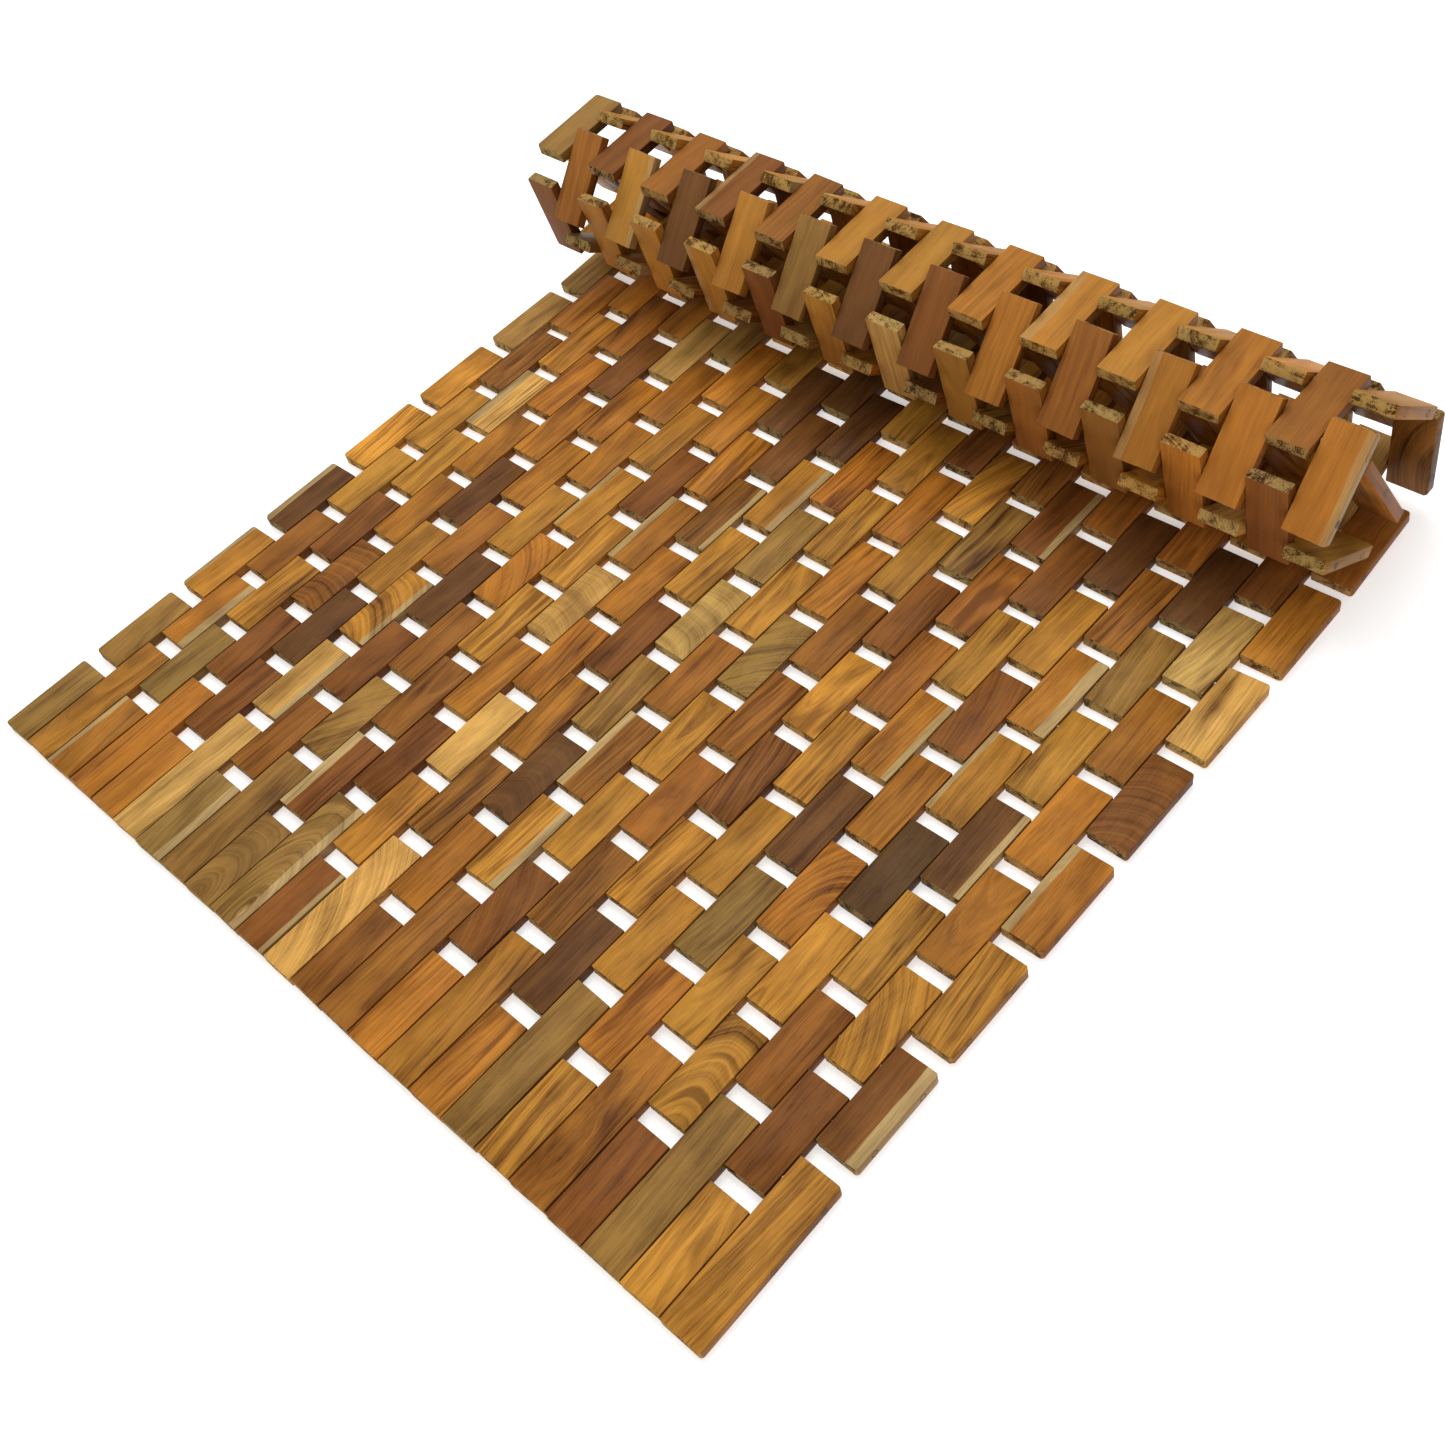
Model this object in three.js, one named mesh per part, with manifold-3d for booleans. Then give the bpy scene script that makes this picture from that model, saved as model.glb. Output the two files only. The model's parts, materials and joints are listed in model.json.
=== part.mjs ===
// A roll-up bath mat of hardwood blocks, threaded on cross rods like a watch strap and partly rolled up.
// The blocks lie in columns, in running bond. Each cross row of blocks takes every second column, and
// the rows of the other columns sit half a block further on, so each rod is the hinge of two rows.
// Millimetres, +Z up. X runs across the mat and Y along it, from the flat edge to the rolled-up end.
// The origin is under the middle of the mat's outline, on the floor.

import * as THREE from "three";
import { mergeVertices } from "three/addons/utils/BufferGeometryUtils.js";
import Module from "manifold-3d";

// Driving dimensions
const MAT_WIDTH = 500;
const MAT_LENGTH = 800; // unrolled
const COLUMNS = 24;
const BLOCKS_IN_ODD_COLUMN = 14;
const THICKNESS = 6;
const BLOCK_GAP = 7.7; // between two blocks of one column
const SEAM = 0.45; // between two columns
const ROD_DIAMETER = 2.6;
const ROD_CLEARANCE = 0.4; // all round, in the row that turns on the rod
const ROD_END_INSET = 3; // from the mat's side to the rod's end
const LAYER_GAP = 0.5; // between the layers of the roll
const ROD_SIDES = 4;

// How far each row turns up from the one before it in the rolled-up end, in degrees, where the roll is
// at its tightest. The first few only lift the row off the floor.
const FIRST_ROLLED_HINGE = 13;
const TIGHTEST_BENDS = [1, 2, 6, 16, 69, 30, 18, 42, 44, 50, 50, 37, 117.5];
const LOOSEN_STEP = 0.002; // share of the bends let go at a time, until the layers are clear

// Derived sizes
const COLUMN_PITCH = MAT_WIDTH / COLUMNS;
const BLOCK_PITCH = (MAT_LENGTH + BLOCK_GAP) / BLOCKS_IN_ODD_COLUMN;
const BLOCK_LENGTH = BLOCK_PITCH - BLOCK_GAP;
const BLOCK_WIDTH = COLUMN_PITCH - SEAM;
const ROD_PITCH = BLOCK_PITCH / 2; // each block holds two rods
const ROD_TO_END = (BLOCK_LENGTH - ROD_PITCH) / 2;
const ROD_LENGTH = MAT_WIDTH - 2 * ROD_END_INSET;
const HOLE_SIDE = ROD_DIAMETER + 2 * ROD_CLEARANCE;
const ROWS = 2 * BLOCKS_IN_ODD_COLUMN - 1;
const LONG_ROWS = [2, ROWS - 1]; // their blocks are half a pitch longer, so that the mat's ends are flush

const wasm = await Module();
wasm.setup();

function toSolid(geometry) {
  const bare = geometry.index ? geometry.toNonIndexed() : geometry.clone();
  bare.deleteAttribute("normal");
  bare.deleteAttribute("uv");
  const merged = mergeVertices(bare, 1e-3);
  return new wasm.Manifold(
    new wasm.Mesh({
      numProp: 3,
      vertProperties: merged.attributes.position.array,
      triVerts: new Uint32Array(merged.index.array),
    }),
  );
}

function toGeometry(solid) {
  const { vertProperties, triVerts } = solid.getMesh();
  return new THREE.BufferGeometry()
    .setAttribute("position", new THREE.BufferAttribute(vertProperties, 3))
    .setIndex(new THREE.BufferAttribute(triVerts, 1));
}

// The layout of a row, along the mat from its first rod: where its blocks start and end, the rods that
// it turns on or shares, and the rod that it carries itself.
function rowLayout(row) {
  const first = row === LONG_ROWS[0];
  const last = row === LONG_ROWS[1];
  return {
    start: -ROD_TO_END - (first ? ROD_PITCH : 0),
    end: ROD_PITCH + ROD_TO_END + (last ? ROD_PITCH : 0),
    holes: first ? [-ROD_PITCH, 0] : last ? [0, 2 * ROD_PITCH] : [0],
    carried: ROD_PITCH,
  };
}

// A bar across the mat at a rod's place: the rod itself, and the hole that a row turns on it with.
function rodGeometry(y) {
  return new THREE.CylinderGeometry(
    ROD_DIAMETER / 2,
    ROD_DIAMETER / 2,
    ROD_LENGTH,
    ROD_SIDES,
  )
    .rotateZ(Math.PI / 2)
    .translate(0, y, 0);
}

function holeGeometry(y) {
  return new THREE.BoxGeometry(
    MAT_WIDTH + COLUMN_PITCH,
    HOLE_SIDE,
    HOLE_SIDE,
  ).translate(0, y, 0);
}

// Odd rows fill the odd columns and even rows the even ones.
function rowSolid(row) {
  const { start, end, holes, carried } = rowLayout(row);
  const block = new THREE.BoxGeometry(BLOCK_WIDTH, end - start, THICKNESS);
  let solid = toSolid(rodGeometry(carried));
  for (let column = row % 2 ? 1 : 2; column <= COLUMNS; column += 2) {
    const x = (column - 0.5) * COLUMN_PITCH - MAT_WIDTH / 2;
    let bored = toSolid(block.clone().translate(x, (start + end) / 2, 0));
    for (const y of holes) bored = bored.subtract(toSolid(holeGeometry(y)));
    solid = solid.add(bored);
  }
  return solid;
}

// Where each row stands, as its first rod's place and the row's slope, with the hinges bent by a share
// of their tightest bend. A row's first rod is the last rod of the row before it.
function poseRows(share) {
  const rows = new Map();
  let y = ROD_TO_END;
  let z = THICKNESS / 2;
  let slope = 0;
  for (let row = 1; row <= ROWS; row++) {
    const bend = TIGHTEST_BENDS[row - 1 - FIRST_ROLLED_HINGE] ?? 0;
    slope += THREE.MathUtils.degToRad(bend * share);
    rows.set(row, { y, z, slope });
    y += ROD_PITCH * Math.cos(slope);
    z += ROD_PITCH * Math.sin(slope);
  }
  return rows;
}

// The four corners of a row's blocks, seen from the side.
function corners(row, { y, z, slope }) {
  const { start, end } = rowLayout(row);
  const along = new THREE.Vector2(Math.cos(slope), Math.sin(slope));
  const up = new THREE.Vector2(-along.y, along.x);
  const half = THICKNESS / 2;
  return [
    [start, -half],
    [end, -half],
    [end, half],
    [start, half],
  ].map(([a, b]) =>
    new THREE.Vector2(y, z).addScaledVector(along, a).addScaledVector(up, b),
  );
}

// How far apart two outlines are, along the direction that parts them best.
function clearance(one, other) {
  let best = -Infinity;
  for (const outline of [one, other])
    outline.forEach((corner, i) => {
      const side = outline[(i + 1) % outline.length].clone().sub(corner);
      const normal = new THREE.Vector2(side.y, -side.x).normalize();
      const a = one.map((p) => p.dot(normal));
      const b = other.map((p) => p.dot(normal));
      best = Math.max(
        best,
        Math.min(...b) - Math.max(...a),
        Math.min(...a) - Math.max(...b),
      );
    });
  return best;
}

// Rows of the same columns can meet, and they are an even number of rows apart.
function layersAreClear(rows) {
  const outlines = [...rows].map(([row, place]) => corners(row, place));
  return outlines.every((one, i) =>
    outlines.every(
      (other, j) =>
        j <= i || (j - i) % 2 || clearance(one, other) >= LAYER_GAP,
    ),
  );
}

// The tightest roll whose layers keep clear of each other.
function tightestRoll() {
  let share = 1;
  while (!layersAreClear(poseRows(share))) share -= LOOSEN_STEP;
  return poseRows(share);
}

// Oiled hardwood, each row of another tone
const TONES = [0x9a6328, 0xb07a35, 0x7d4a22, 0xa36c30, 0x8c5a2c];
const tone = (row) => TONES[(row * 2) % TONES.length];
const wood = (row) =>
  new THREE.MeshStandardMaterial({
    color: tone(row),
    roughness: 0.5,
    metalness: 0,
  });
const steel = new THREE.MeshStandardMaterial({
  color: 0xb4b4b2,
  roughness: 0.35,
  metalness: 1,
});

const group = new THREE.Group();
const rows = tightestRoll();

for (const [row, { y, z, slope }] of rows) {
  const mesh = new THREE.Mesh(toGeometry(rowSolid(row)), wood(row));
  mesh.name = "row_" + String(row).padStart(2, "0");
  mesh.position.set(0, y, z);
  mesh.rotation.x = slope;
  group.add(mesh);
}

// The first rod only ties the two end rows together, and belongs to neither.
const edgeRod = new THREE.Mesh(rodGeometry(0), steel);
edgeRod.name = "edge_rod";
edgeRod.position.copy(group.getObjectByName("row_01").position);
group.add(edgeRod);

// The whole mat is moved to its origin: down to its lowest corner, and half its outline back.
const outline = new THREE.Box2().setFromPoints(
  [...rows].flatMap(([row, place]) => corners(row, place)),
);
group.position.set(0, -(outline.min.x + outline.max.x) / 2, -outline.min.y);

export default group;
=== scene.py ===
"""A roll-up bath mat: oiled hardwood blocks in running bond on hidden cross rods, its far end rolled up."""

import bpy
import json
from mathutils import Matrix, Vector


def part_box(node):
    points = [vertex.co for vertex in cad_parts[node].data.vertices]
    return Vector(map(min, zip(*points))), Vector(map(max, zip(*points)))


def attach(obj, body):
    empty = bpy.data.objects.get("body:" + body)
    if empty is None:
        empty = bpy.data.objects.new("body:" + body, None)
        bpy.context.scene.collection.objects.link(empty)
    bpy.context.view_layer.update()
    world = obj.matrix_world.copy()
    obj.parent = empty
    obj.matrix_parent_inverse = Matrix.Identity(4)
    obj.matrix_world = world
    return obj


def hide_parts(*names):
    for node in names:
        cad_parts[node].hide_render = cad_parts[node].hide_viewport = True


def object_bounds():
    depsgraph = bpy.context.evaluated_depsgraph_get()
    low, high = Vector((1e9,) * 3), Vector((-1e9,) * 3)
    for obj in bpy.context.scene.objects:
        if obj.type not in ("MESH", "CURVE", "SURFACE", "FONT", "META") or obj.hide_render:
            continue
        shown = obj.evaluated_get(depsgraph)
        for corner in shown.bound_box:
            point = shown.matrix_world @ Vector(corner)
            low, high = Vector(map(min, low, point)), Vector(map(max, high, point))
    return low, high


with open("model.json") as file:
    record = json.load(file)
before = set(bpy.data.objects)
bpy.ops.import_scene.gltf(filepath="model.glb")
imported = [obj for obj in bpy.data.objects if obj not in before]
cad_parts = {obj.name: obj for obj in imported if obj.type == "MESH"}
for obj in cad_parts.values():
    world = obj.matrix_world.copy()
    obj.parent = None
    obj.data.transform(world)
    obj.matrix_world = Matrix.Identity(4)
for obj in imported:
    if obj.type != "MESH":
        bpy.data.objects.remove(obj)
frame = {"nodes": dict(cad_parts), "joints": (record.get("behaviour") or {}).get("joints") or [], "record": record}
CAD_BOX = [list(corner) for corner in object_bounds()]

import json
import math
import random

import bpy
from mathutils import Matrix, Quaternion, Vector

bl_info = {
    "name": "Roll-up Bath Mat",
    "version": (1, 0, 0),
    "blender": (4, 5, 0),
    "location": "3D View > Sidebar > Bath Mat",
    "description": "Builds a roll-up wooden bath mat on the bodies of its CAD frame",
    "category": "Mesh",
}

MM = 0.001

# The plug over a rod's end: its depth, the width of its rim, how far its middle is sunk, and how far
# it is pushed into the block.
PLUG_DEPTH = 0.8 * MM
PLUG_RIM = 0.5 * MM
PLUG_HOLLOW = 0.12 * MM
PLUG_SUNK = 0.3 * MM

# How a block differs from its neighbours.
MOST_YAW_DEGREES = 0.18
SAPWOOD_SHARE = 0.09
SAPWOOD_WIDTHS = (2.5, 6)
FIGURE_SHARE = 0.06
CHIP_REACH = 3  # in widths of the rounded edge

# Where the lamps stand, how wide they are, and how far the floor is below the mat.
KEY_PLACE = (-0.5, 0.5, 1.7)
KEY_SIDE = 1.6
FILL_PLACE = (1.3, -0.9, 1.0)
FILL_SIDE = 1.0
FLOOR_DROP = 0.2 * MM

ACROSS = Vector((1, 0, 0))
ROW_COUNT = sum(name.startswith("row_") for name in frame["nodes"])
LONG_ROWS = (2, ROW_COUNT - 1)

# How often each tone of wood turns up in a batch of blocks.
TONE_SHARES = {
    "golden": 30,
    "orange": 26,
    "chestnut": 18,
    "russet": 11,
    "umber": 4,
    "ebony": 0.3,
    "olive": 5,
    "straw": 5,
}

# The tones of the blocks that set the look of the flat part and of the roll's front, as (row, column).
CHOSEN_TONES = {
    "ebony": (
        (7, 21),
    ),
    "umber": (
        (3, 17), (5, 5), (5, 13), (7, 1), (7, 7), (7, 19), (8, 22), (9, 5), (14, 20), (14, 22),
        (22, 6), (22, 12),
    ),
    "russet": (
        (1, 11), (1, 21), (3, 5), (3, 9), (3, 15), (3, 23), (4, 4), (4, 10), (4, 24), (5, 7),
        (7, 3), (7, 17), (8, 12), (10, 20), (10, 24), (11, 9), (11, 17), (13, 5), (13, 19),
        (14, 18), (21, 3), (21, 7), (22, 14),
    ),
    "chestnut": (
        (1, 13), (2, 14), (3, 7), (4, 12), (4, 16), (4, 22), (5, 9), (6, 2), (6, 8), (6, 14),
        (6, 16), (8, 6), (8, 14), (8, 16), (10, 16), (10, 18), (12, 18), (13, 21), (21, 5),
        (21, 9), (21, 23), (22, 2), (22, 18),
    ),
    "olive": (
        (1, 1), (1, 7), (1, 9), (2, 8), (2, 10), (2, 22), (3, 1), (3, 3), (4, 8), (5, 19), (7, 13),
        (9, 15), (11, 13), (12, 22), (13, 17), (21, 1), (22, 10),
    ),
    "straw": (
        (2, 6), (2, 12), (4, 6), (5, 11), (8, 10), (9, 13), (12, 24), (13, 23),
    ),
    "golden": (
        (1, 19), (1, 23), (2, 24), (3, 11), (3, 21), (4, 14), (4, 18), (4, 20), (5, 1), (5, 3),
        (5, 15), (5, 17), (5, 21), (5, 23), (6, 6), (6, 18), (6, 22), (6, 24), (7, 9), (7, 15),
        (8, 2), (8, 18), (9, 3), (9, 7), (9, 9), (9, 17), (9, 21), (10, 8), (10, 12), (10, 14),
        (10, 22), (11, 19), (12, 12), (12, 14), (12, 20), (21, 11), (21, 13), (21, 17), (21, 19),
        (22, 4), (22, 8), *((20, column) for column in range(2, 25, 2)),
    ),
    "orange": (
        (1, 3), (1, 5), (1, 15), (1, 17), (2, 2), (2, 4), (2, 16), (2, 20), (3, 13), (3, 19),
        (4, 2), (6, 10), (6, 12), (6, 20), (7, 11), (7, 23), (8, 4), (8, 8), (8, 20), (8, 24),
        (9, 11), (9, 19), (9, 23), (10, 4), (10, 6), (11, 5), (11, 7), (11, 15), (11, 21),
        (11, 23), (12, 10), (13, 13), (21, 15), (21, 21), (22, 16), (22, 20), (22, 22), (22, 24),
    ),
}

# Blocks with sapwood along their left (-1) or right (1) edge.
CHOSEN_SAPWOOD = {
    (2, 10): 1, (3, 9): -1, (4, 2): 1, (4, 6): 1, (4, 14): 1, (4, 24): 1, (8, 24): -1, (9, 19): 1,
    (9, 21): -1, (10, 10): -1, (11, 21): 1, (21, 17): -1, (22, 4): 1, (22, 24): 1,
}

# Blocks cut across a bent grain.
CHOSEN_FIGURE = (
    (1, 9), (2, 10), (2, 12), (3, 15), (3, 21), (5, 13), (6, 4), (7, 17), (8, 8), (8, 10), (9, 13),
    (9, 15), (10, 20), (10, 24),
)


# --- Settings ---------------------------------------------------------------


def length_setting(name, description, default):
    return bpy.props.FloatProperty(
        name=name,
        description=description,
        default=default,
        min=0,
        precision=5,
        subtype="DISTANCE",
        unit="LENGTH",
    )


def colour_setting(name, description, default):
    return bpy.props.FloatVectorProperty(
        name=name, description=description, default=default, min=0, max=1, size=3, subtype="COLOR"
    )


class BathMatBlockSettings(bpy.types.PropertyGroup):
    """Sizes of the blocks."""

    columns: bpy.props.IntProperty(
        name="Columns", description="Columns of blocks across the mat", default=24, min=2
    )
    seam: length_setting("Seam", "Gap between two columns", 0.45 * MM)
    edge_round: length_setting("Edge Round", "Rounding of every edge of a block", 0.45 * MM)
    corner_round: length_setting("Corner Round", "Rounding of the mat's outer corners", 1.5 * MM)
    chip: length_setting("Chip", "Deepest wear at a block's corner", 0.9 * MM)
    cut_error: length_setting("Cut Error", "How far a block's sawn end strays", 0.35 * MM)
    proud: length_setting("Proud", "How far a block sits above or below its row", 0.12 * MM)
    plug_width: length_setting("Plug Width", "Diameter of the plug over a rod's end", 3.6 * MM)


class BathMatRodSettings(bpy.types.PropertyGroup):
    """Sizes of the rods."""

    diameter: length_setting("Diameter", "Diameter of a cross rod", 2.6 * MM)
    end_round: length_setting("End Round", "Rounding of a rod's cut end", 0.35 * MM)


class BathMatColourSettings(bpy.types.PropertyGroup):
    """Colours of the wood and the steel."""

    golden: colour_setting("Golden", "Golden tan heartwood", (0.49, 0.205, 0.023))
    orange: colour_setting("Orange", "Orange brown heartwood", (0.42, 0.142, 0.012))
    chestnut: colour_setting("Chestnut", "Mid brown heartwood", (0.285, 0.090, 0.010))
    russet: colour_setting("Russet", "Reddish brown heartwood", (0.190, 0.049, 0.007))
    umber: colour_setting("Umber", "Dark purplish heartwood", (0.108, 0.030, 0.008))
    ebony: colour_setting("Ebony", "Nearly black heartwood", (0.048, 0.020, 0.010))
    olive: colour_setting("Olive", "Olive tan heartwood", (0.30, 0.155, 0.036))
    straw: colour_setting("Straw", "Pale heartwood", (0.57, 0.315, 0.085))
    sapwood: colour_setting("Sapwood", "Cream sapwood along an edge", (0.62, 0.42, 0.17))
    end_grain: colour_setting("End Grain", "Pale speckles of the sawn ends", (0.50, 0.35, 0.12))
    plug: colour_setting("Plug", "Filler over the rod ends", (0.05, 0.025, 0.012))
    steel: colour_setting("Steel", "Drawn stainless wire", (0.62, 0.61, 0.59))


class BathMatStageSettings(bpy.types.PropertyGroup):
    """Floor, light and camera."""

    floor_colour: colour_setting("Floor", "Colour of the floor", (0.93, 0.93, 0.93))
    floor_glow: bpy.props.FloatProperty(
        name="Floor Glow", description="Light that comes through the floor", default=0.45, min=0
    )
    floor_side: length_setting("Floor Side", "Side of the square floor", 8.0)
    sky: bpy.props.FloatProperty(
        name="Sky", description="Strength of the light all round", default=0.5, min=0
    )
    key_power: bpy.props.FloatProperty(
        name="Key Power", description="Power of the large lamp overhead", default=19.5, min=0, unit="POWER"
    )
    fill_power: bpy.props.FloatProperty(
        name="Fill Power",
        description="Power of the lamp beside the camera",
        default=3.5,
        min=0,
        unit="POWER",
    )
    camera_place: bpy.props.FloatVectorProperty(
        name="Camera Place",
        description="Where the camera stands",
        default=(0.4652, -0.3115, 0.5900),
        subtype="XYZ",
        unit="LENGTH",
    )
    camera_target: bpy.props.FloatVectorProperty(
        name="Camera Target",
        description="What the camera looks at",
        default=(0.0583, -0.0376, 0),
        subtype="XYZ",
        unit="LENGTH",
    )
    camera_roll: bpy.props.FloatProperty(
        name="Camera Roll",
        description="Turn of the camera about its view",
        default=math.radians(16.9),
        subtype="ANGLE",
    )
    lens: bpy.props.FloatProperty(
        name="Lens", description="Focal length in millimetres", default=41.18, min=1, unit="CAMERA"
    )


class BathMatSettings(bpy.types.PropertyGroup):
    """All settings of the bath mat."""

    blocks: bpy.props.PointerProperty(type=BathMatBlockSettings)
    rods: bpy.props.PointerProperty(type=BathMatRodSettings)
    colours: bpy.props.PointerProperty(type=BathMatColourSettings)
    stage: bpy.props.PointerProperty(type=BathMatStageSettings)


# --- Places worked out from the frame ---------------------------------------


def row_node(row):
    return f"row_{row:02d}"


def row_slope(node):
    """Angle of a row's longer side above the floor, from the spread of its CAD solid's corners."""
    corners = [vertex.co.yz for vertex in frame["nodes"][node].data.vertices]
    middle = sum(corners, Vector((0, 0))) / len(corners)
    offsets = [corner - middle for corner in corners]
    product = sum(offset.x * offset.y for offset in offsets)
    difference = sum(offset.x**2 - offset.y**2 for offset in offsets)
    return math.atan2(2 * product, difference) / 2


def row_span(node, direction):
    """Lowest and highest reach of a row's CAD solid along a direction."""
    reaches = [vertex.co.dot(direction) for vertex in frame["nodes"][node].data.vertices]
    return min(reaches), max(reaches)


class Row:
    """Where a row of blocks lies: its middle, the way along the mat, the way up, and its blocks' size."""

    def __init__(self, number):
        self.number = number
        self.node = row_node(number)
        slope = row_slope(self.node)
        self.along = Vector((0, math.cos(slope), math.sin(slope)))
        self.measure()

    def measure(self):
        self.up = ACROSS.cross(self.along)
        near, far = row_span(self.node, self.along)
        low, high = row_span(self.node, self.up)
        self.length = far - near
        self.thickness = high - low
        self.middle = self.along * (near + far) / 2 + self.up * (low + high) / 2

    def face_towards(self, way):
        """Turns the row end for end if it was measured against the way that the mat runs."""
        if self.along.dot(way) < 0:
            self.along.negate()
            self.measure()


def lay_out_rows():
    """Every row of the mat, from its flat near edge to its rolled far end."""
    rows = {number: Row(number) for number in range(1, ROW_COUNT + 1)}
    for number, row in rows.items():
        before = rows.get(number - 1, row)
        after = rows.get(number + 1, row)
        row.face_towards(after.middle - before.middle)
    return rows


ROWS = lay_out_rows()
HINGES = {joint["name"]: Vector(joint["pos_m"]) for joint in frame["joints"]}


def body_of(node):
    """The CAD body that holds a node."""
    bodies = frame["record"]["behaviour"]["bodies"]
    return next(body for body, nodes in bodies.items() if node in nodes)


def slot_of(node):
    """The material slot that the record gives a node."""
    return next(part["material_slot"] for part in frame["record"]["subparts"] if part["node"] == node)


def rod_spacing():
    """Distance between neighbouring rods, from the two hinges nearest the flat edge."""
    nearest = sorted(HINGES.values(), key=lambda place: place.y)[:2]
    return (nearest[1] - nearest[0]).length


def column_pitch(blocks):
    return (CAD_BOX[1][0] - CAD_BOX[0][0] + blocks.seam) / blocks.columns


def column_middle(blocks, column):
    return CAD_BOX[0][0] - blocks.seam / 2 + (column - 0.5) * column_pitch(blocks)


# --- Modelling helpers ------------------------------------------------------


def deselect_all():
    if bpy.context.object and bpy.context.object.mode != "OBJECT":
        bpy.ops.object.mode_set(mode="OBJECT")
    bpy.ops.object.select_all(action="DESELECT")


def edit(piece):
    """Opens a piece for editing with nothing in it selected."""
    deselect_all()
    piece.select_set(True)
    bpy.context.view_layer.objects.active = piece
    bpy.ops.object.mode_set(mode="EDIT")
    bpy.ops.mesh.select_all(action="DESELECT")
    bpy.ops.object.mode_set(mode="OBJECT")


def select_edges(piece, wanted):
    """Selects the edges of an opened piece whose two ends pass a test, then goes back to editing."""
    vertices = piece.data.vertices
    for edge in piece.data.edges:
        edge.select = wanted(*(vertices[index].co for index in edge.vertices))
    bpy.ops.object.mode_set(mode="EDIT")
    bpy.ops.mesh.select_mode(type="EDGE")


def close_edit():
    bpy.ops.object.mode_set(mode="OBJECT")


def join(pieces, name):
    """Joins pieces into one that stands at the origin."""
    deselect_all()
    for piece in pieces:
        piece.select_set(True)
    bpy.context.view_layer.objects.active = pieces[0]
    bpy.ops.object.join()
    joined = bpy.context.object
    joined.name = joined.data.name = name
    return joined


def apply_place(piece):
    """Moves an object's place into its mesh."""
    deselect_all()
    piece.select_set(True)
    bpy.context.view_layer.objects.active = piece
    bpy.ops.object.transform_apply(location=True, rotation=True, scale=True)


def copy_of(master):
    """A copy of a modelled piece, with a mesh of its own."""
    copied = master.copy()
    copied.data = master.data.copy()
    bpy.context.collection.objects.link(copied)
    return copied


def write_attribute(mesh, name, kind, domain, values):
    """Stores one value for each point or face of a mesh."""
    attribute = mesh.attributes.new(name, kind, domain)
    key = "color" if kind == "FLOAT_COLOR" else "vector"
    attribute.data.foreach_set(key, [number for value in values for number in value])


# --- Materials --------------------------------------------------------------


class Surface:
    """Lays out the nodes of one material."""

    def __init__(self, name):
        self.material = bpy.data.materials.new(name)
        self.material.use_nodes = True
        self.tree = self.material.node_tree
        self.shader = self.tree.nodes["Principled BSDF"]

    def feed(self, socket, value):
        """Links a socket to another, or sets it."""
        if isinstance(value, bpy.types.NodeSocket):
            self.tree.links.new(value, socket)
        else:
            socket.default_value = value

    def node(self, kind, inputs, **settings):
        made = self.tree.nodes.new("ShaderNode" + kind)
        for key, value in settings.items():
            setattr(made, key, value)
        for name, value in inputs.items():
            self.feed(made.inputs[name], value)
        return made

    def math(self, operation, *values, clamp=False):
        return self.node("Math", dict(enumerate(values)), operation=operation, use_clamp=clamp).outputs[0]

    def vector_math(self, operation, *values):
        return self.node("VectorMath", dict(enumerate(values)), operation=operation).outputs[0]

    def mix(self, factor, first, second, blend="MIX"):
        """Mixes two colours."""
        made = self.node("Mix", {0: factor, 6: first, 7: second}, data_type="RGBA", blend_type=blend)
        return made.outputs[2]

    def tint(self, colour, red, green, blue):
        """Scales each part of a colour."""
        return self.mix(1.0, colour, (red, green, blue, 1), "MULTIPLY")

    def combine(self, x, y, z):
        return self.node("CombineXYZ", {0: x, 1: y, 2: z}).outputs[0]

    def separate(self, vector):
        return self.node("SeparateXYZ", {0: vector}).outputs[:]

    def attribute(self, name, output="Vector"):
        return self.node("Attribute", {}, attribute_name=name).outputs[output]

    def noise(self, vector, scale, detail=2.0, roughness=0.5):
        inputs = {"Vector": vector, "Scale": scale, "Detail": detail, "Roughness": roughness}
        return self.node("TexNoise", inputs).outputs[0]

    def step(self, value, low, high):
        """Rises smoothly from 0 to 1 as the value goes from low to high."""
        inputs = {"Value": value, "From Min": low, "From Max": high}
        return self.node("MapRange", inputs, interpolation_type="SMOOTHSTEP").outputs[0]

    def stretch(self, value, low, high):
        """Maps 0 to 1 onto low to high."""
        inputs = {"Value": value, "To Min": low, "To Max": high}
        return self.node("MapRange", inputs).outputs[0]

    def bump(self, height, strength, distance):
        inputs = {"Height": height, "Strength": strength, "Distance": distance}
        self.feed(self.shader.inputs["Normal"], self.node("Bump", inputs).outputs[0])

    def finish(self, **values):
        for name, value in values.items():
            self.feed(self.shader.inputs[name.replace("_", " ").title()], value)
        return self.material


def scaled(colour, red, green, blue):
    """A colour as four numbers, each part of it scaled."""
    return (colour[0] * red, colour[1] * green, colour[2] * blue, 1)


def opaque(colour):
    return (*colour, 1)


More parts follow.
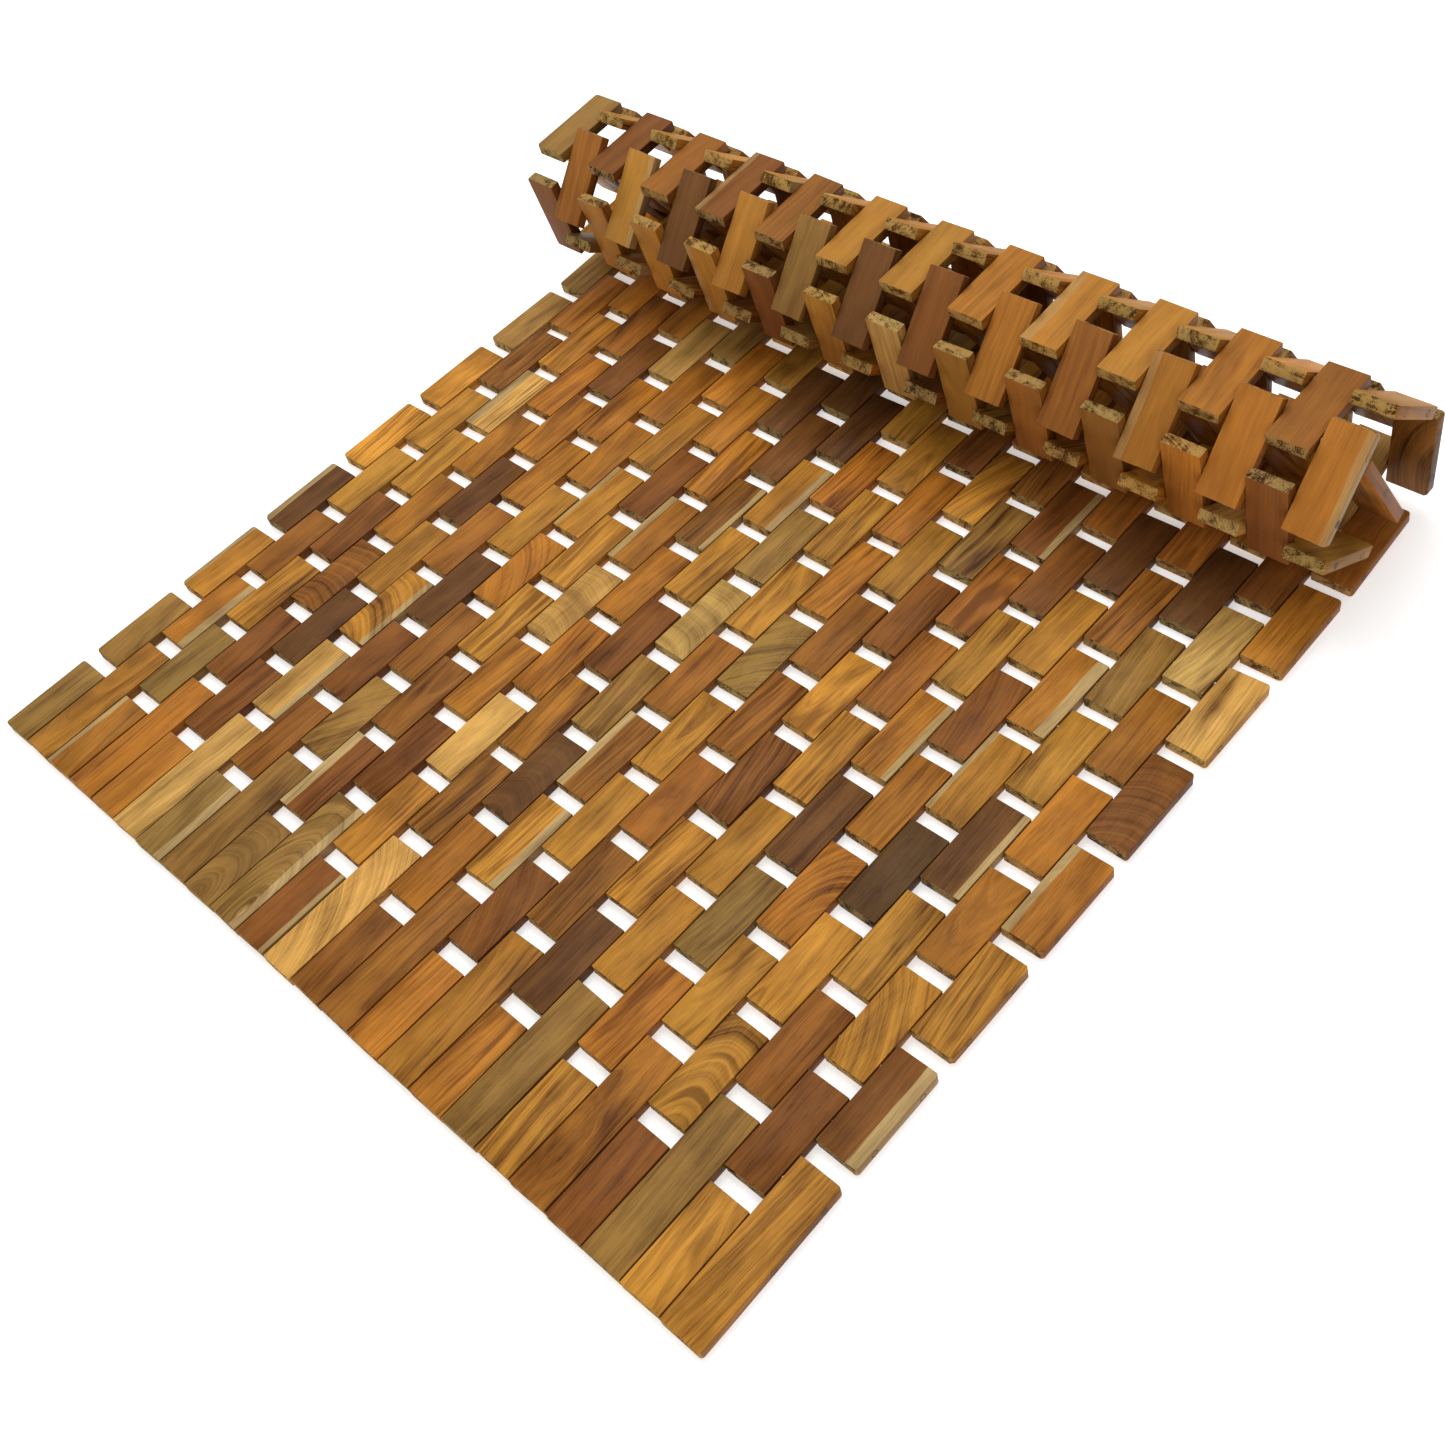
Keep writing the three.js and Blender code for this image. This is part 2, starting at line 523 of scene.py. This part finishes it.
class Hardwood(Surface):
    """Oiled hardwood, whose grain follows each block's own place, seed, tone and figure."""

    def __init__(self, colours):
        super().__init__("Oiled_Hardwood")
        self.colours = colours
        self.tone = self.attribute("tone", "Color")
        self.place = self.attribute("grain")
        self.across, self.along, self.through = self.separate(self.place)
        self.seed = self.attribute("seed")
        self.seed_x, self.seed_y, self.seed_z = self.separate(self.seed)
        self.contrast, self.sap_width, self.tilt = self.separate(self.attribute("figure"))
        facing_x, facing_y, facing_z = self.separate(self.attribute("facing"))
        self.is_side = self.step(self.math("ABSOLUTE", facing_x), 0.6, 0.9)
        self.is_end = self.step(self.math("ABSOLUTE", facing_y), 0.6, 0.9)
        self.is_under = self.step(self.math("MULTIPLY", facing_z, -1), 0.6, 0.9)
        self.spot = self.vector_math("ADD", self.place, self.seed)
        self.radius = self.ring_radius()
        self.broad = self.ring_noise(210, 9, self.seed_x, 3, 0.6)
        self.fibre = self.grain_noise((1700, 40, 1700), 1, 2, 0.6)
        self.pore = self.step(self.grain_noise((3000, 150, 3000), 1, 1), 0.60, 0.70)
        self.shade = self.lightness()
        self.speck = self.end_specks()

    def grain_noise(self, stretch, scale, detail, roughness=0.5):
        """Noise that is stretched or squeezed along each side of the block."""
        stretched = self.vector_math("MULTIPLY", self.spot, stretch)
        return self.noise(stretched, scale, detail, roughness)

    def ring_noise(self, across_rings, along_block, start, detail, roughness):
        """Noise that follows the growth rings, and is finer across them than along the block."""
        across = self.math("MULTIPLY", self.radius, across_rings)
        along = self.math("MULTIPLY", self.along, along_block)
        start_far = self.vector_math("MULTIPLY", self.seed, (50, 50, 50))
        place = self.vector_math("ADD", start_far, self.combine(across, along, start))
        return self.noise(place, 1, detail, roughness)

    def sway(self, base, value, middle, amount):
        """Raises or lowers a base as a value swings about its middle."""
        return self.math("MULTIPLY_ADD", self.math("SUBTRACT", value, middle), amount, base)

    def ring_radius(self):
        """Distance from the pith, which runs beside the block, a little askew."""
        lean = self.math("MULTIPLY_ADD", self.seed_x, 0.05, -0.075)
        aside = self.math("MULTIPLY_ADD", self.along, lean, self.across)
        aside = self.math("SUBTRACT", aside, self.math("MULTIPLY_ADD", self.seed_y, 0.04, -0.06))
        below = self.math("MULTIPLY_ADD", self.along, self.tilt, self.through)
        below = self.math("ADD", below, self.math("MULTIPLY_ADD", self.seed_z, 0.02, 0.004))
        squares = self.math("ADD", self.math("POWER", aside, 2), self.math("POWER", below, 2))
        drift = self.grain_noise((1, 0.3, 1), 50, 2)
        return self.math("MULTIPLY_ADD", drift, 0.0035, self.math("SQRT", squares))

    def lightness(self):
        """From 0 to 1: streaks, each ring's hard late line, clouds, fibres and open pores."""
        narrow = self.ring_noise(900, 16, self.seed_y, 3, 0.65)
        fine = self.ring_noise(2600, 30, self.seed_z, 2, 0.6)
        ring = self.math("FRACT", self.math("MULTIPLY", self.radius, 520))
        late = self.math("POWER", ring, 4)
        cloud = self.grain_noise((1, 0.5, 1), 70, 2)
        shade = self.sway(0.62, self.broad, 0.47, self.math("MULTIPLY", self.contrast, 1.7))
        shade = self.sway(shade, narrow, 0.5, self.math("MULTIPLY", self.contrast, 0.7))
        shade = self.sway(shade, fine, 0.5, 0.6)
        shade = self.sway(shade, cloud, 0.5, 0.95)
        shade = self.sway(shade, self.fibre, 0.5, 0.55)
        late_depth = self.math("MULTIPLY", self.contrast, -0.16)
        shade = self.math("MULTIPLY_ADD", late, late_depth, shade)
        return self.math("MULTIPLY_ADD", self.pore, -0.14, shade, clamp=True)

    def heartwood(self):
        """The tone, darker and lighter in its streaks, with a dark streak in strongly figured blocks."""
        dark = self.mix(0.4, self.tint(self.tone, 0.26, 0.18, 0.14), (0.075, 0.024, 0.007, 1))
        light = self.mix(0.18, self.tint(self.tone, 1.45, 1.5, 1.4), (0.56, 0.32, 0.09, 1))
        colour = self.mix(self.shade, dark, light)
        strength = self.math("MULTIPLY", self.step(self.contrast, 0.85, 1.5), 0.7)
        streak = self.math("MULTIPLY", self.step(self.broad, 0.56, 0.66), strength)
        return self.mix(streak, colour, self.tint(self.tone, 0.2, 0.11, 0.09))

    def with_sapwood(self, colour):
        """Adds the band of sapwood along one edge, where the block has one."""
        wander = self.math("MULTIPLY_ADD", self.grain_noise((1, 0.25, 1), 80, 2), 0.003, -0.0015)
        depth = self.math("MULTIPLY_ADD", self.across, self.math("SIGN", self.sap_width), wander)
        depth = self.math("ADD", depth, self.math("ABSOLUTE", self.sap_width))
        depth = self.math("MULTIPLY_ADD", self.fibre, 0.0012, depth)
        sapwood = self.colours.sapwood
        sap_colour = self.mix(self.shade, scaled(sapwood, 0.34, 0.28, 0.26), opaque(sapwood))
        return self.mix(self.step(depth, 0.0104, 0.0110), colour, sap_colour)

    def end_specks(self):
        """Cut pores, rings and dark patches on a sawn end."""
        ring_lines = self.combine(self.math("MULTIPLY", self.radius, 1300), self.seed_x, self.seed_y)
        speck = self.grain_noise((2300, 40, 2300), 1, 2, 0.6)
        speck = self.sway(speck, self.noise(ring_lines, 1, 2, 0.5), 0.5, 0.55)
        return self.sway(speck, self.noise(self.spot, 190, 3, 0.65), 0.46, 1.3)

    def with_ends(self, colour):
        """Speckles the sawn ends pale and dark; the dark is partly the end grain's own colour and partly painted
        shade of ends facing the gaps between rows.
        """
        # the dark end colour is partly end grain and partly painted shade
        dark = self.tint(self.tone, 0.2, 0.19, 0.22)
        light = self.mix(0.62, self.tone, opaque(self.colours.end_grain))
        return self.mix(self.is_end, colour, self.mix(self.step(self.speck, 0.34, 0.66), dark, light))

    def with_painted_side_shade(self, colour):
        """Darkens the long sides: painted shade in the narrow seams between the columns."""
        return self.mix(self.is_side, colour, self.tint(colour, 0.6, 0.52, 0.5))

    def with_undersides(self, colour):
        """Makes the undersides paler and duller, as they were never oiled as richly."""
        pale = self.mix(0.45, colour, self.tint(self.tone, 1.05, 1.05, 1.1))
        pale = self.mix(0.14, pale, (0.42, 0.215, 0.075, 1))
        return self.mix(self.is_under, colour, pale)

    def complete(self):
        """Lays the parts of the wood over each other, and hands over the finished material."""
        colour = self.with_ends(self.with_sapwood(self.heartwood()))
        # painted shade darkens the long sides in the seams between the columns
        colour = self.with_undersides(self.with_painted_side_shade(colour))
        roughness = self.stretch(self.fibre, 0.34, 0.54)
        roughness = self.math("MULTIPLY_ADD", self.is_under, 0.14, roughness)
        roughness = self.math("MULTIPLY_ADD", self.is_end, 0.3, roughness, clamp=True)
        relief = self.math("MULTIPLY_ADD", self.pore, -0.6, self.math("MULTIPLY", self.fibre, 0.5))
        relief = self.math("MULTIPLY_ADD", self.math("MULTIPLY", self.is_end, self.speck), 1.5, relief)
        self.bump(relief, 0.5, 0.2 * MM)
        self.shader.inputs["Specular IOR Level"].default_value = 0.1
        return self.finish(base_color=colour, roughness=roughness)


def filler(colours):
    """Dark wood filler over the rod ends."""
    plug = Surface("Plug_Filler")
    spot = plug.node("TexCoord", {}).outputs["Object"]
    grit = plug.noise(spot, 2600, 3, 0.7)
    colour = plug.mix(plug.step(grit, 0.4, 0.65), opaque(colours.plug), scaled(colours.plug, 3.2, 3.0, 2.6))
    plug.bump(grit, 0.4, 0.15 * MM)
    return plug.finish(base_color=colour, roughness=plug.stretch(grit, 0.55, 0.85))


def wire_steel(colours):
    """Drawn stainless wire, with lines along it."""
    steel = Surface("Drawn_Steel")
    spot = steel.node("TexCoord", {}).outputs["Object"]
    lines = steel.noise(steel.vector_math("MULTIPLY", spot, (60, 6000, 6000)), 1, 3, 0.6)
    colour = steel.mix(lines, scaled(colours.steel, 0.75, 0.75, 0.75), opaque(colours.steel))
    steel.bump(lines, 0.2, 0.05 * MM)
    return steel.finish(base_color=colour, roughness=steel.stretch(lines, 0.22, 0.42), metallic=1.0)


def floor_paper(stage):
    """Matt studio paper."""
    paper = Surface("Studio_Paper")
    spot = paper.node("TexCoord", {}).outputs["Object"]
    tooth = paper.noise(spot, 900, 2)
    colour = paper.mix(tooth, scaled(stage.floor_colour, 0.99, 0.99, 0.99), opaque(stage.floor_colour))
    paper.shader.inputs["Specular IOR Level"].default_value = 0
    paper.shader.inputs["Emission Color"].default_value = (1, 1, 1, 1)
    paper.shader.inputs["Emission Strength"].default_value = stage.floor_glow
    return paper.finish(base_color=colour, roughness=0.9)


# --- Blocks -----------------------------------------------------------------


def model_block(blocks, name, length, thickness, rounded_side):
    """Models one block about its own middle, with its corners rounded on the left (-1) or right (1)."""
    width = column_pitch(blocks) - blocks.seam
    deselect_all()
    bpy.ops.mesh.primitive_cube_add(size=1, location=(0, 0, 0))
    block = bpy.context.object
    block.name = block.data.name = name
    edit(block)
    bpy.ops.object.mode_set(mode="EDIT")
    bpy.ops.mesh.select_all(action="SELECT")
    bpy.ops.transform.resize(value=(width, length, thickness))
    close_edit()
    if rounded_side:
        edit(block)
        select_edges(block, lambda a, b: abs(a.z - b.z) > thickness / 2 and a.x * rounded_side > 0)
        bpy.ops.mesh.bevel(offset=blocks.corner_round, segments=3, affect="EDGES")
        close_edit()
    bevel = block.modifiers.new("Eased Edges", "BEVEL")
    bevel.width = blocks.edge_round
    bevel.segments = 2
    bevel.limit_method = "ANGLE"
    bevel.angle_limit = math.radians(50)
    bpy.ops.object.modifier_apply(modifier=bevel.name)
    bpy.ops.object.shade_smooth_by_angle(angle=math.radians(40))
    mesh = block.data
    write_attribute(mesh, "facing", "FLOAT_VECTOR", "FACE", [face.normal for face in mesh.polygons])
    return block


def model_plug(blocks):
    """Models the plug over a rod's end: a short round peg with a sunk middle, facing right."""
    deselect_all()
    bpy.ops.mesh.primitive_cylinder_add(
        vertices=14, radius=blocks.plug_width / 2, depth=PLUG_DEPTH, rotation=(0, math.pi / 2, 0)
    )
    plug = bpy.context.object
    plug.name = plug.data.name = "Plug"
    apply_place(plug)
    edit(plug)
    for face in plug.data.polygons:
        face.select = face.normal.x > 0.9
    bpy.ops.object.mode_set(mode="EDIT")
    bpy.ops.mesh.select_mode(type="FACE")
    bpy.ops.mesh.inset(thickness=PLUG_RIM, depth=-PLUG_HOLLOW)
    close_edit()
    return plug


def wear(mesh, blocks, chance, length):
    """Chips a block's corners, and saws its ends a little out of square."""
    width = column_pitch(blocks) - blocks.seam
    thickness = mesh_height(mesh)
    chips = {
        (x, y, z): blocks.chip * chance.random() ** 5
        for x in (-1, 1)
        for y in (-1, 1)
        for z in (-1, 1)
    }
    skews = {y: chance.uniform(-1, 1) * blocks.cut_error for y in (-1, 1)}
    stretches = {y: chance.uniform(-1, 0.4) * blocks.cut_error for y in (-1, 1)}
    for vertex in mesh.vertices:
        x, y, z = (math.copysign(1, part) for part in vertex.co)
        corner = Vector((x * width / 2, y * length / 2, z * thickness / 2))
        nearness = max(0.0, 1 - (corner - vertex.co).length / (CHIP_REACH * blocks.edge_round))
        pull = Vector((x, y, z * 0.5)) * chips[(x, y, z)] * nearness
        vertex.co -= pull
        vertex.co.y += y * stretches[y] + skews[y] * vertex.co.x / width


def mesh_height(mesh):
    heights = [vertex.co.z for vertex in mesh.vertices]
    return max(heights) - min(heights)


def tone_of(colours, row, column, chance):
    """The name and colour of a block's wood."""
    drawn = chance.choices(list(TONE_SHARES), weights=TONE_SHARES.values())[0]
    chosen = [name for name, places in CHOSEN_TONES.items() if (row, column) in places]
    name = chosen[0] if chosen else drawn
    brightness = math.exp(chance.gauss(0, 0.08 if chosen else 0.17))
    warmth = math.exp(chance.gauss(0, 0.04))
    red, green, blue = getattr(colours, name)
    return name, (red * brightness * warmth, green * brightness, blue * brightness / warmth, 1)


def paint_block(mesh, colours, row, column, chance):
    """Gives each point of a block its place in the wood, and the block its tone and figure."""
    name, colour = tone_of(colours, row, column, chance)
    seed = [chance.random() * 3 for _ in range(3)]
    contrast = chance.uniform(0.5, 1.6) * (0.6 if name in ("ebony", "umber") else 1)
    place = (row, column)
    drawn_edge = chance.choice((-1, 1)) if chance.random() < SAPWOOD_SHARE else 0
    sap = CHOSEN_SAPWOOD.get(place, drawn_edge) * chance.uniform(*SAPWOOD_WIDTHS) * MM
    bent = place in CHOSEN_FIGURE or chance.random() < FIGURE_SHARE
    tilt = chance.uniform(0.25, 0.6) if bent else chance.uniform(-0.05, 0.05)
    count = len(mesh.vertices)
    write_attribute(mesh, "grain", "FLOAT_VECTOR", "POINT", [vertex.co for vertex in mesh.vertices])
    write_attribute(mesh, "seed", "FLOAT_VECTOR", "POINT", [seed] * count)
    write_attribute(mesh, "tone", "FLOAT_COLOR", "POINT", [colour] * count)
    write_attribute(mesh, "figure", "FLOAT_VECTOR", "POINT", [(contrast, sap, tilt)] * count)


def set_block(master, settings, row, column):
    """Copies a block into its place in a row, worn, grained and a little askew."""
    blocks = settings.blocks
    chance = random.Random(f"block {row.number} {column}")
    block = copy_of(master)
    wear(block.data, blocks, chance, row.length)
    paint_block(block.data, settings.colours, row.number, column, chance)
    yaw = Matrix.Rotation(math.radians(chance.uniform(-MOST_YAW_DEGREES, MOST_YAW_DEGREES)), 4, "Z")
    lift = Matrix.Translation((0, 0, chance.uniform(-1, 1) * blocks.proud))
    turn = Matrix((ACROSS, row.along, row.up)).transposed().to_4x4()
    move = Matrix.Translation(row.middle + ACROSS * column_middle(blocks, column))
    block.data.transform(move @ turn @ lift @ yaw)
    return block


def set_plugs(master, settings, row, side):
    """The plugs over the ends of both rods of a row, on the mat's left (-1) or right (1) side."""
    plugs = []
    half_width = (CAD_BOX[1][0] - CAD_BOX[0][0]) / 2
    for rod in rods_of_row(row):
        plug = copy_of(master)
        turn = Matrix.Rotation(0 if side > 0 else math.pi, 4, "Z")
        place = rod + ACROSS * side * (half_width - PLUG_SUNK)
        plug.data.transform(Matrix.Translation(place) @ turn)
        plugs.append(plug)
    return plugs


def rods_of_row(row):
    """The middles of the two rods that a row's blocks turn on."""
    inset = (ROWS[1].length - rod_spacing()) / 2
    reach = row.length / 2 - inset
    if row.number == LONG_ROWS[0]:
        return [row.middle, row.middle + row.along * reach]
    if row.number == LONG_ROWS[1]:
        return [row.middle - row.along * reach, row.middle]
    return [row.middle - row.along * reach, row.middle + row.along * reach]


def build_rows(settings, numbers):
    """Builds rows of like blocks, each row one piece on its own body."""
    blocks = settings.blocks
    wood = bpy.data.materials.get("Oiled_Hardwood") or Hardwood(settings.colours).complete()
    dark = bpy.data.materials.get("Plug_Filler") or filler(settings.colours)
    first = ROWS[numbers[0]]
    size = (first.length, first.thickness)
    plug = model_plug(blocks)
    plug.data.materials.append(dark)
    masters = {side: model_block(blocks, f"Block_{side + 1}", *size, side) for side in (-1, 0, 1)}
    for master in masters.values():
        master.data.materials.append(wood)
    for number in numbers:
        row = ROWS[number]
        side = -1 if number % 2 else 1
        outermost = 1 if number % 2 else blocks.columns
        columns = range(1 if number % 2 else 2, blocks.columns + 1, 2)
        parts = [
            set_block(masters[side if column == outermost else 0], settings, row, column)
            for column in columns
        ]
        piece = join(parts + set_plugs(plug, settings, row, side), f"blocks_{row.node}")
        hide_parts(row.node)
        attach(piece, body_of(row.node))
        slot_of(row.node)
    for master in [plug, *masters.values()]:
        bpy.data.objects.remove(master)


# --- Rods -------------------------------------------------------------------


def model_rod(rods, length):
    """Models one round rod along X about its own middle, with eased ends."""
    deselect_all()
    bpy.ops.mesh.primitive_cylinder_add(
        vertices=16, radius=rods.diameter / 2, depth=length, rotation=(0, math.pi / 2, 0)
    )
    rod = bpy.context.object
    apply_place(rod)
    edit(rod)
    select_edges(rod, lambda a, b: abs(a.x - b.x) < length / 2)
    bpy.ops.mesh.bevel(offset=rods.end_round, segments=2, affect="EDGES")
    close_edit()
    bpy.ops.object.shade_smooth_by_angle(angle=math.radians(40))
    return rod


def build_rods(settings):
    """Builds the rods: each rides on the row that it is fixed in, and the first on the near edge."""
    low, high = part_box("edge_rod")
    master = model_rod(settings.rods, high.x - low.x)
    master.data.materials.append(wire_steel(settings.colours))
    places = {}
    for number in range(1, ROW_COUNT + 1, 2):
        places[number - 1], places[number] = rods_of_row(ROWS[number])
    for number, place in sorted(places.items()):
        rod = copy_of(master)
        rod.data.transform(Matrix.Translation(place))
        rod.name = rod.data.name = f"rod_{number:02d}"
        if number:
            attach(rod, body_of(row_node(number)))
        else:
            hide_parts("edge_rod")
            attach(rod, body_of("edge_rod"))
    bpy.data.objects.remove(master)


# --- Stage ------------------------------------------------------------------


def add_lamp(name, power, place, side):
    """A large square lamp that faces the mat's middle."""
    deselect_all()
    bpy.ops.object.light_add(type="AREA", location=place)
    lamp = bpy.context.object
    lamp.name = name
    lamp.data.size = side
    lamp.data.energy = power
    lamp.rotation_euler = (-Vector(place)).to_track_quat("-Z", "Y").to_euler()


def add_camera(stage):
    place = Vector(stage.camera_place)
    view = Vector(stage.camera_target) - place
    roll = Quaternion((0, 0, 1), -stage.camera_roll)
    deselect_all()
    bpy.ops.object.camera_add(location=place)
    camera = bpy.context.object
    camera.name = "Camera"
    camera.rotation_euler = (view.to_track_quat("-Z", "Y") @ roll).to_euler()
    camera.data.lens = stage.lens
    camera.data.clip_start = 0.01
    bpy.context.scene.camera = camera


def add_floor(stage):
    deselect_all()
    bpy.ops.mesh.primitive_plane_add(size=stage.floor_side, location=(0, 0, CAD_BOX[0][2] - FLOOR_DROP))
    floor = bpy.context.object
    floor.name = "Floor"
    floor.data.materials.append(floor_paper(stage))
    apply_place(floor)


def light_sky(stage):
    """Even white light from all round."""
    world = bpy.data.worlds.new("Studio")
    world.use_nodes = True
    background = world.node_tree.nodes["Background"]
    background.inputs["Color"].default_value = (1, 1, 1, 1)
    background.inputs["Strength"].default_value = stage.sky
    bpy.context.scene.world = world


# --- Operators --------------------------------------------------------------


class BATHMAT_OT_short_rows(bpy.types.Operator):
    """Build the rows of short blocks"""

    bl_idname = "bathmat.short_rows"
    bl_label = "Rows of Short Blocks"

    def execute(self, context):
        numbers = [number for number in ROWS if number not in LONG_ROWS]
        build_rows(context.scene.bath_mat, numbers)
        return {"FINISHED"}


class BATHMAT_OT_long_rows(bpy.types.Operator):
    """Build the two rows of long blocks, next to the mat's ends"""

    bl_idname = "bathmat.long_rows"
    bl_label = "Rows of Long Blocks"

    def execute(self, context):
        build_rows(context.scene.bath_mat, LONG_ROWS)
        return {"FINISHED"}


class BATHMAT_OT_rods(bpy.types.Operator):
    """Build the cross rods that the blocks are threaded on"""

    bl_idname = "bathmat.rods"
    bl_label = "Cross Rods"

    def execute(self, context):
        build_rods(context.scene.bath_mat)
        return {"FINISHED"}


class BATHMAT_OT_stage(bpy.types.Operator):
    """Set up the floor, the studio light and the camera"""

    bl_idname = "bathmat.stage"
    bl_label = "Stage"

    def execute(self, context):
        stage = context.scene.bath_mat.stage
        add_floor(stage)
        light_sky(stage)
        add_lamp("Key_Lamp", stage.key_power, KEY_PLACE, KEY_SIDE)
        add_lamp("Fill_Lamp", stage.fill_power, FILL_PLACE, FILL_SIDE)
        add_camera(stage)
        context.scene.view_settings.view_transform = "Standard"
        return {"FINISHED"}


class BATHMAT_PT_panel(bpy.types.Panel):
    """Lists the settings and the steps of the build"""

    bl_idname = "BATHMAT_PT_panel"
    bl_label = "Roll-up Bath Mat"
    bl_space_type = "VIEW_3D"
    bl_region_type = "UI"
    bl_category = "Bath Mat"

    def draw(self, context):
        settings = context.scene.bath_mat
        for group in (settings.blocks, settings.rods, settings.colours, settings.stage):
            box = self.layout.box()
            for name in group.__annotations__:
                box.prop(group, name)
        for operator in OPERATORS:
            self.layout.operator(operator.bl_idname)


OPERATORS = (BATHMAT_OT_short_rows, BATHMAT_OT_long_rows, BATHMAT_OT_rods, BATHMAT_OT_stage)
CLASSES = (
    BathMatBlockSettings,
    BathMatRodSettings,
    BathMatColourSettings,
    BathMatStageSettings,
    BathMatSettings,
    *OPERATORS,
    BATHMAT_PT_panel,
)


def register():
    for each in CLASSES:
        bpy.utils.register_class(each)
    bpy.types.Scene.bath_mat = bpy.props.PointerProperty(type=BathMatSettings)


def unregister():
    del bpy.types.Scene.bath_mat
    for each in reversed(CLASSES):
        bpy.utils.unregister_class(each)


def main():
    register()
    bpy.ops.bathmat.short_rows()
    bpy.ops.bathmat.long_rows()
    bpy.ops.bathmat.rods()
    bpy.ops.bathmat.stage()
    deselect_all()


if __name__ == "__main__":
    main()
